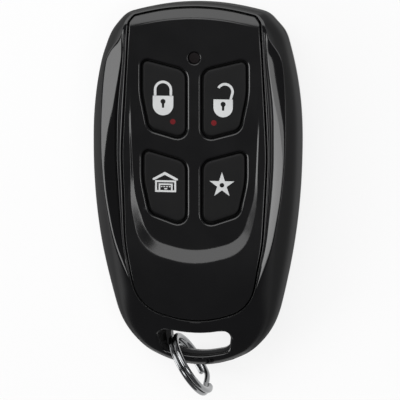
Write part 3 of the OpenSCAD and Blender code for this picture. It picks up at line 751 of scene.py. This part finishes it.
# Fascia: raised chin and rolled top band round a shallow dish with four pockets and the window
# The dish's side walls are narrow above LIMB_Y, and widen to the chin's over LIMB_L
LIMB_W = 0.3
LIMB_X = FASCIA_X - 2.0
LIMB_Y = 4.0
LIMB_L = 10.0
# Edge of the fascia: way in and way down
FASCIA_EDGE = [(0, 0.14), (0.05, 0.04), (0.14, 0)]
# Shares of the way from the edge in to the dish's rim
APRON_SHARES = (0.15, 0.3, 0.45, 0.6, 0.75, 0.88, 0.96)
# Wall of the dish: place between its rim and its floor's edge, share of its depth
DISH_WALL = [(0.0, 0.04), (0.12, 0.14), (0.5, 0.5), (0.88, 0.88), (1.0, 0.97), (1.1, 1.0), (1.3, 1.0)]


def fascia_insert():
    edge = outline(FASCIA)
    rim = outline(DISH_RIM)
    low_edge = outline(DISH_FLOOR)

    def on_skin(points, sink=0.0):
        return [Vector((p.x, p.y, skin_z(p) - sink)) for p in points]

    def dish(t, share):
        ring = []
        for q, foot in zip(rim, low_edge):
            narrow = LIMB_W / (foot - q).length
            widened = narrow + (1 - narrow) * smooth((LIMB_Y - q.y) / LIMB_L)
            kept = widened if abs(q.x) > LIMB_X else 1.0
            p = q.lerp(foot, 0.5 + (t - 0.5) * kept)
            low = DISH_Z - band_drop(p)
            ring.append(Vector((p.x, p.y, low * share + skin_z(q) * (1 - share))))
        return ring

    rounding = [outline(inset(FASCIA, d)) for d, _ in FASCIA_EDGE]
    rings = [at_height(edge, SEAT_Z), at_height(edge, SEAT_Z + SEAT_EDGE)]
    rings += [on_skin(points, sink) for points, (_, sink) in zip(rounding, FASCIA_EDGE)]
    rings += [on_skin(between(rounding[-1], rim, t)) for t in APRON_SHARES]
    rings += [dish(*s) for s in DISH_WALL]
    return rounded(as_object("fascia_insert", loft(bmesh.new(), rings)))


# A pocket's lip: turns of its rounding in degrees, and ways out and up past it, at a slant to the dish's floor
LIP_TURNS = (0, 20, 40, 60, 76)
LIP_OUT = 0.8
LIP_UP = 0.25


def lip_steps(r):
    """Ways out and up a lip."""
    steps = [(r * (1 - math.cos(a)), r * (math.sin(a) - 1)) for a in map(math.radians, LIP_TURNS)]
    return steps + [(r + LIP_OUT, LIP_UP)]


def pocket_cutter(key):
    corners = POCKETS[key]
    rings = [at_height(outline(corners), POCKET_LOW)]
    for out, up in lip_steps(LIP_R):
        rings.append(at_height(outline(inset(corners, -out)), DISH_Z + up))
    return lofted_cutter("pocket_cutter_" + key, rings)


fascia = fascia_insert()
cut(fascia, *[pocket_cutter(key) for key in POCKETS])
window_hole = [(LED_R, POCKET_LOW)] + [(LED_R + out, DISH_Z + up) for out, up in lip_steps(WINDOW_LIP_R)]
cut(fascia, lofted_cutter("window_cutter", turned(0, LED_Y, window_hole, TURNED_STEPS)))
dress(even_shading(fascia), SATIN_BLACK, "case", "satin_fascia", "fascia")


# Keys: silicone caps with rounded edges, over a flange that stays under the fascia
# A key's section: way in from its pocket's outline, and height
KEY_SECTION = [
    (-0.42, 8.62), (-0.42, 8.66), (-0.42, 9.05), (-0.38, 9.08), (KEY_GAP - 0.05, 9.08), (KEY_GAP, 9.14),
    (KEY_GAP, KEY_TOP - 0.45), (KEY_GAP + 0.03, KEY_TOP - 0.22), (KEY_GAP + 0.13, KEY_TOP - 0.07),
    (KEY_GAP + 0.32, KEY_TOP - 0.012), (KEY_GAP + 0.8, KEY_TOP), (KEY_GAP + 1.0, KEY_TOP),
]


def key_cap(key):
    rings = [at_height(outline(inset(POCKETS[key], d)), z) for d, z in KEY_SECTION]
    cap = rounded(as_object(key + "_cap", loft(bmesh.new(), rings)), levels=1)
    return dress(even_shading(cap), SILICONE, key + "_button", "silicone", key + "_key")


for key in POCKETS:
    key_cap(key)


# Printed symbols: flat outlines with their holes, made into thin solids on the keys
INK_T = 0.012
INK_LIFT = 0.002
INK_MERGE = 1e-8
CURVE_STEPS = 24
DOT_R = 0.5
STROKE = 0.46
KEYHOLE_R = 0.46
KEYHOLE_LEG_W = 0.4
KEYHOLE_LEG_L = 1.15


def arc(x, y, r, start, end):
    angles = [math.radians(start + (end - start) * k / CURVE_STEPS) for k in range(CURVE_STEPS + 1)]
    return [(x + r * math.cos(a), y + r * math.sin(a)) for a in angles]


def disc(x, y, r):
    """A round outline, whose last side is left for the print to close."""
    return arc(x, y, r, 0, 345)


def printed(name, outlines, ink, slot, body):
    flat = bpy.data.curves.new(name, "CURVE")
    flat.dimensions = "2D"
    flat.fill_mode = "BOTH"
    flat.extrude = INK_T / 2 * MM
    for points in outlines:
        spline = flat.splines.new("POLY")
        spline.points.add(len(points) - 1)
        spline.use_cyclic_u = True
        for target, (x, y) in zip(spline.points, points):
            target.co = (x * MM, y * MM, 0, 1)
    sketch = bpy.data.objects.new(name + "_sketch", flat)
    bpy.context.scene.collection.objects.link(sketch)
    bpy.context.view_layer.update()
    mesh = bpy.data.meshes.new_from_object(sketch.evaluated_get(bpy.context.evaluated_depsgraph_get()))
    bpy.data.objects.remove(sketch)
    bm = bmesh.new()
    bm.from_mesh(mesh)
    bpy.data.meshes.remove(mesh)
    bmesh.ops.remove_doubles(bm, verts=bm.verts, dist=INK_MERGE)
    bmesh.ops.translate(bm, verts=bm.verts, vec=Vector((0, 0, (KEY_TOP + INK_T / 2 + INK_LIFT) * MM)))
    return dress(as_object(name, bm), ink, body, slot)


def white_print(key, piece, *outlines):
    printed(key + piece, outlines, INK_WHITE, "white_print", key + "_button")


def red_dot(key, x, y):
    printed(key + "_symbol_dot", [disc(x, y, DOT_R)], INK_RED, "red_print", key + "_button")


def padlock_body(x, top, low, half):
    bowl = arc(x, low + half, half, 180, 360)
    return [(x - half, top), (x - half, low + half)] + bowl + [(x + half, low + half), (x + half, top)]


def keyhole(x, y):
    leg, foot = KEYHOLE_LEG_W / 2, y - KEYHOLE_LEG_L
    return arc(x, y, KEYHOLE_R, -60, 240) + [(x - leg, foot), (x + leg, foot)]


def shackle(x, y, r, start, end, foot=None):
    """A bent bar, whose two ends go on straight down to foot where that is given."""
    wide, tight = r + STROKE / 2, r - STROKE / 2
    outer, inner = arc(x, y, wide, start, end), arc(x, y, tight, end, start)
    if foot is None:
        return outer + inner
    return [(x + wide, foot)] + outer + [(x - wide, foot), (x - tight, foot)] + inner + [(x + tight, foot)]


def star(x, y, outer, inner):
    points = []
    for k in range(10):
        r, a = inner if k % 2 else outer, math.radians(90 + 36 * k)
        points.append((x + r * math.cos(a), y + r * math.sin(a)))
    return points


def bar(x0, y0, x1, y1):
    return [(x0, y0), (x1, y0), (x1, y1), (x0, y1)]


LOCK_X = -5.75
UNLOCK_X = 5.3
STAR_AT = (5.1, 0.6)
OPEN_SHACKLE = [(6.88, 16.15)] + shackle(5.64, 17.55, 1.38, -25, 150) + [(6.44, 16.15)]
ROOF = [
    (-7.7, 1.31), (-7.35, 1.31), (-5.45, 2.27), (-3.5, 1.31),
    (-3.05, 1.31), (-3.05, 1.6), (-5.45, 2.83), (-7.7, 1.6),
]
PANE_W = 0.32
PANES = [bar(x, 0.03, x + PANE_W, 0.22) for x in (-6.2, -5.7, -5.2, -4.7)]

white_print("lock", "_symbol_body", padlock_body(LOCK_X, 16.68, 13.13, 1.9), keyhole(LOCK_X, 15.65))
white_print("lock", "_symbol_shackle", shackle(LOCK_X, 17.75, 1.45, 0, 180, 16.6))
white_print("unlock", "_symbol_body", padlock_body(UNLOCK_X, 16.17, 12.95, 1.77), keyhole(UNLOCK_X, 15.3))
white_print("unlock", "_symbol_shackle", OPEN_SHACKLE)
red_dot("lock", -3.95, 12.0)
red_dot("unlock", 3.6, 11.9)
white_print("star", "_symbol", star(*STAR_AT, 2.4, 0.92), disc(*STAR_AT, 0.42))
white_print("garage", "_symbol_roof", ROOF)
white_print("garage", "_symbol_walls", bar(-7.25, -0.87, -3.35, 1.27), bar(-6.9, -0.54, -3.7, 0.93))
white_print("garage", "_symbol_door", bar(-6.6, -0.54, -4.0, 0.7), bar(-6.3, -0.54, -4.3, 0.41))
white_print("garage", "_symbol_handle", bar(-5.55, -0.39, -5.0, -0.16))
white_print("garage", "_symbol_panes", *PANES)


# Window: the light pipe's flat end behind the rounded lip
LENS_SIDES = 32
LENS_R = 0.98
COLLAR_R = 1.52
LENS_SECTION = [
    (LENS_R, 7.12), (LENS_R, 7.2), (LENS_R, 8.6), (COLLAR_R, 8.6), (COLLAR_R, 9.14), (LENS_R, 9.14),
    (LENS_R, 10.03), (0.96, 10.06), (0.78, 10.07),
]


def window_lens():
    rings = turned(0, LED_Y, LENS_SECTION, LENS_SIDES)
    lens = settle(as_object("window_lens", close_ends(loft(bmesh.new(), rings))), sharp=50)
    return dress(lens, LENS, "case", "tinted_lens", "light_pipe")


window_lens()


# Split ring: two turns of flattened wire with a step between them, standing round the bar
RING_R = 6.35
WIRE_R = 1.2
WIRE_W = 0.86
TURN_GAP = 0.1
RING_TURN = math.radians(32)
RING_AT = Vector((-1.35, 0.35 - HALF_L, RING_R + 0.1))
WIRE_SIDES = 16
# Powers that flatten the wire's round section across and along the ring's axle
FLAT_R = 0.7
FLAT_W = 0.8
# Degrees round the ring: its split, half the bend between its turns, the wire's ends past the bend, and one end's
# rounding (how far in, how thick) and its length
SPLIT_AT = 310
BEND_HALF = 16.0
END_PAST = 4
TIP = [(0, 0.8), (0.6, 0.95)]
TIP_L = 1.5
TURN_STEPS = 180


def split_ring():
    rise = (WIRE_W + TURN_GAP) / 2
    middle = RING_R - WIRE_R / 2
    axle = Vector((math.cos(RING_TURN), math.sin(RING_TURN), 0))
    reach = Vector((-math.sin(RING_TURN), math.cos(RING_TURN), 0))

    def wire(degrees, shrink=1.0):
        a = math.radians(degrees + SPLIT_AT)
        side = rise * (2 * smooth((degrees - 360 + BEND_HALF) / (2 * BEND_HALF)) - 1)
        ring = []
        for k in range(WIRE_SIDES):
            b = k * math.tau / WIRE_SIDES
            r = middle + shrink * WIRE_R / 2 * math.copysign(abs(math.cos(b)) ** FLAT_R, math.cos(b))
            w = side + shrink * WIRE_W / 2 * math.copysign(abs(math.sin(b)) ** FLAT_W, math.sin(b))
            ring.append(RING_AT + axle * w + reach * (r * math.sin(a)) - Vector((0, 0, r * math.cos(a))))
        return ring

    start, end = BEND_HALF + END_PAST, 720 - BEND_HALF - END_PAST
    length = end - start - 2 * TIP_L
    rings = [wire(start + d, thick) for d, thick in TIP]
    rings += [wire(start + TIP_L + length * k / TURN_STEPS) for k in range(TURN_STEPS + 1)]
    rings += [wire(end - d, thick) for d, thick in reversed(TIP)]
    ring = settle(as_object("key_ring", close_ends(loft(bmesh.new(), rings))), sharp=40)
    return dress(ring, RING_CHROME, "ring", "chrome_wire", "split_ring")


split_ring()


# Studio: pale floor, four soft boxes and a dim room
FLOOR_SIZE = 3.0
FLOOR_Z = -0.0003
FLOOR_GLOW = 0.85


def floor_material():
    mat, nodes, links, bsdf = new_material("pale_floor")
    bsdf.inputs["Base Color"].default_value = (0.92, 0.92, 0.92, 1)
    bsdf.inputs["Roughness"].default_value = 0.9
    bsdf.inputs["Specular IOR Level"].default_value = 0.0
    path = nodes.new("ShaderNodeLightPath")
    glow = nodes.new("ShaderNodeEmission")
    mixer = nodes.new("ShaderNodeMixShader")
    seen = [nodes.new("ShaderNodeMath") for _ in range(3)]
    seen[0].operation = seen[1].operation = "MAXIMUM"
    seen[2].operation = "MULTIPLY"
    seen[2].inputs[1].default_value = FLOOR_GLOW
    links.new(path.outputs["Is Camera Ray"], seen[0].inputs[0])
    links.new(path.outputs["Is Glossy Ray"], seen[0].inputs[1])
    links.new(seen[0].outputs[0], seen[1].inputs[0])
    links.new(path.outputs["Is Transmission Ray"], seen[1].inputs[1])
    links.new(seen[1].outputs[0], seen[2].inputs[0])
    links.new(seen[2].outputs[0], mixer.inputs["Fac"])
    links.new(bsdf.outputs["BSDF"], mixer.inputs[1])
    links.new(glow.outputs["Emission"], mixer.inputs[2])
    links.new(mixer.outputs["Shader"], nodes["Material Output"].inputs["Surface"])
    return mat


bm = bmesh.new()
bmesh.ops.create_grid(bm, x_segments=1, y_segments=1, size=FLOOR_SIZE)
bmesh.ops.translate(bm, verts=bm.verts, vec=(0, 0, FLOOR_Z))
floor = as_object("floor", bm)
floor.data.materials.append(floor_material())


# Each box: place, the way it faces, width, height and radiance
DOWN = (0, 0, -1)
TO_THE_RIGHT = (1, 0, 0)
SOFT_BOXES = {
    "top_box": ((-0.52, 0.68, 0.7), DOWN, 1.4, 1.0, 2.6),
    "right_box": ((0.29, -0.025, 0.7), DOWN, 0.42, 0.21, 4.7),
    "left_box": ((-1.2, -0.27, 0.45), TO_THE_RIGHT, 0.66, 0.78, 4.9),
    "left_fill": ((-1.2, -0.27, 1.01), TO_THE_RIGHT, 0.66, 0.34, 2.9),
}


def soft_box(name, at, facing, width, height, radiance):
    """A flat lamp of even radiance."""
    light = bpy.data.lights.new(name, "AREA")
    light.shape = "RECTANGLE"
    light.size, light.size_y = width, height
    light.energy = radiance * math.pi * width * height
    lamp = bpy.data.objects.new(name, light)
    bpy.context.scene.collection.objects.link(lamp)
    lamp.location = at
    lamp.rotation_euler = Vector(facing).to_track_quat("-Z", "Y").to_euler()


for name, box in SOFT_BOXES.items():
    soft_box(name, *box)

ROOM_GREY = (0.147, 0.147, 0.152, 1)
world = bpy.data.worlds.new("dim_room")
bpy.context.scene.world = world
world.use_nodes = True
world.node_tree.nodes["Background"].inputs["Color"].default_value = ROOM_GREY
world.node_tree.nodes["Background"].inputs["Strength"].default_value = 1.0

# Camera: nearly straight down on the keys, a little from the right and from the top end
LOOK_AT = Vector((0.66, -2.47, 8.0)) * MM
LEAN_X = math.radians(10.5)
LEAN_Y = math.radians(7.5)
DISTANCE = 0.40
optics = bpy.data.cameras.new("photo_camera")
optics.lens = 197.2
optics.sensor_width = 36
optics.clip_start = 0.01
camera = bpy.data.objects.new("photo_camera", optics)
bpy.context.scene.collection.objects.link(camera)
away = Vector((math.tan(LEAN_X), math.tan(LEAN_Y), 1)).normalized()
right = Vector((0, 1, 0)).cross(away).normalized()
camera.location = LOOK_AT + away * DISTANCE
camera.rotation_euler = Matrix((right, away.cross(right), away)).transposed().to_euler()
bpy.context.scene.camera = camera

bpy.context.scene.view_settings.view_transform = "Standard"
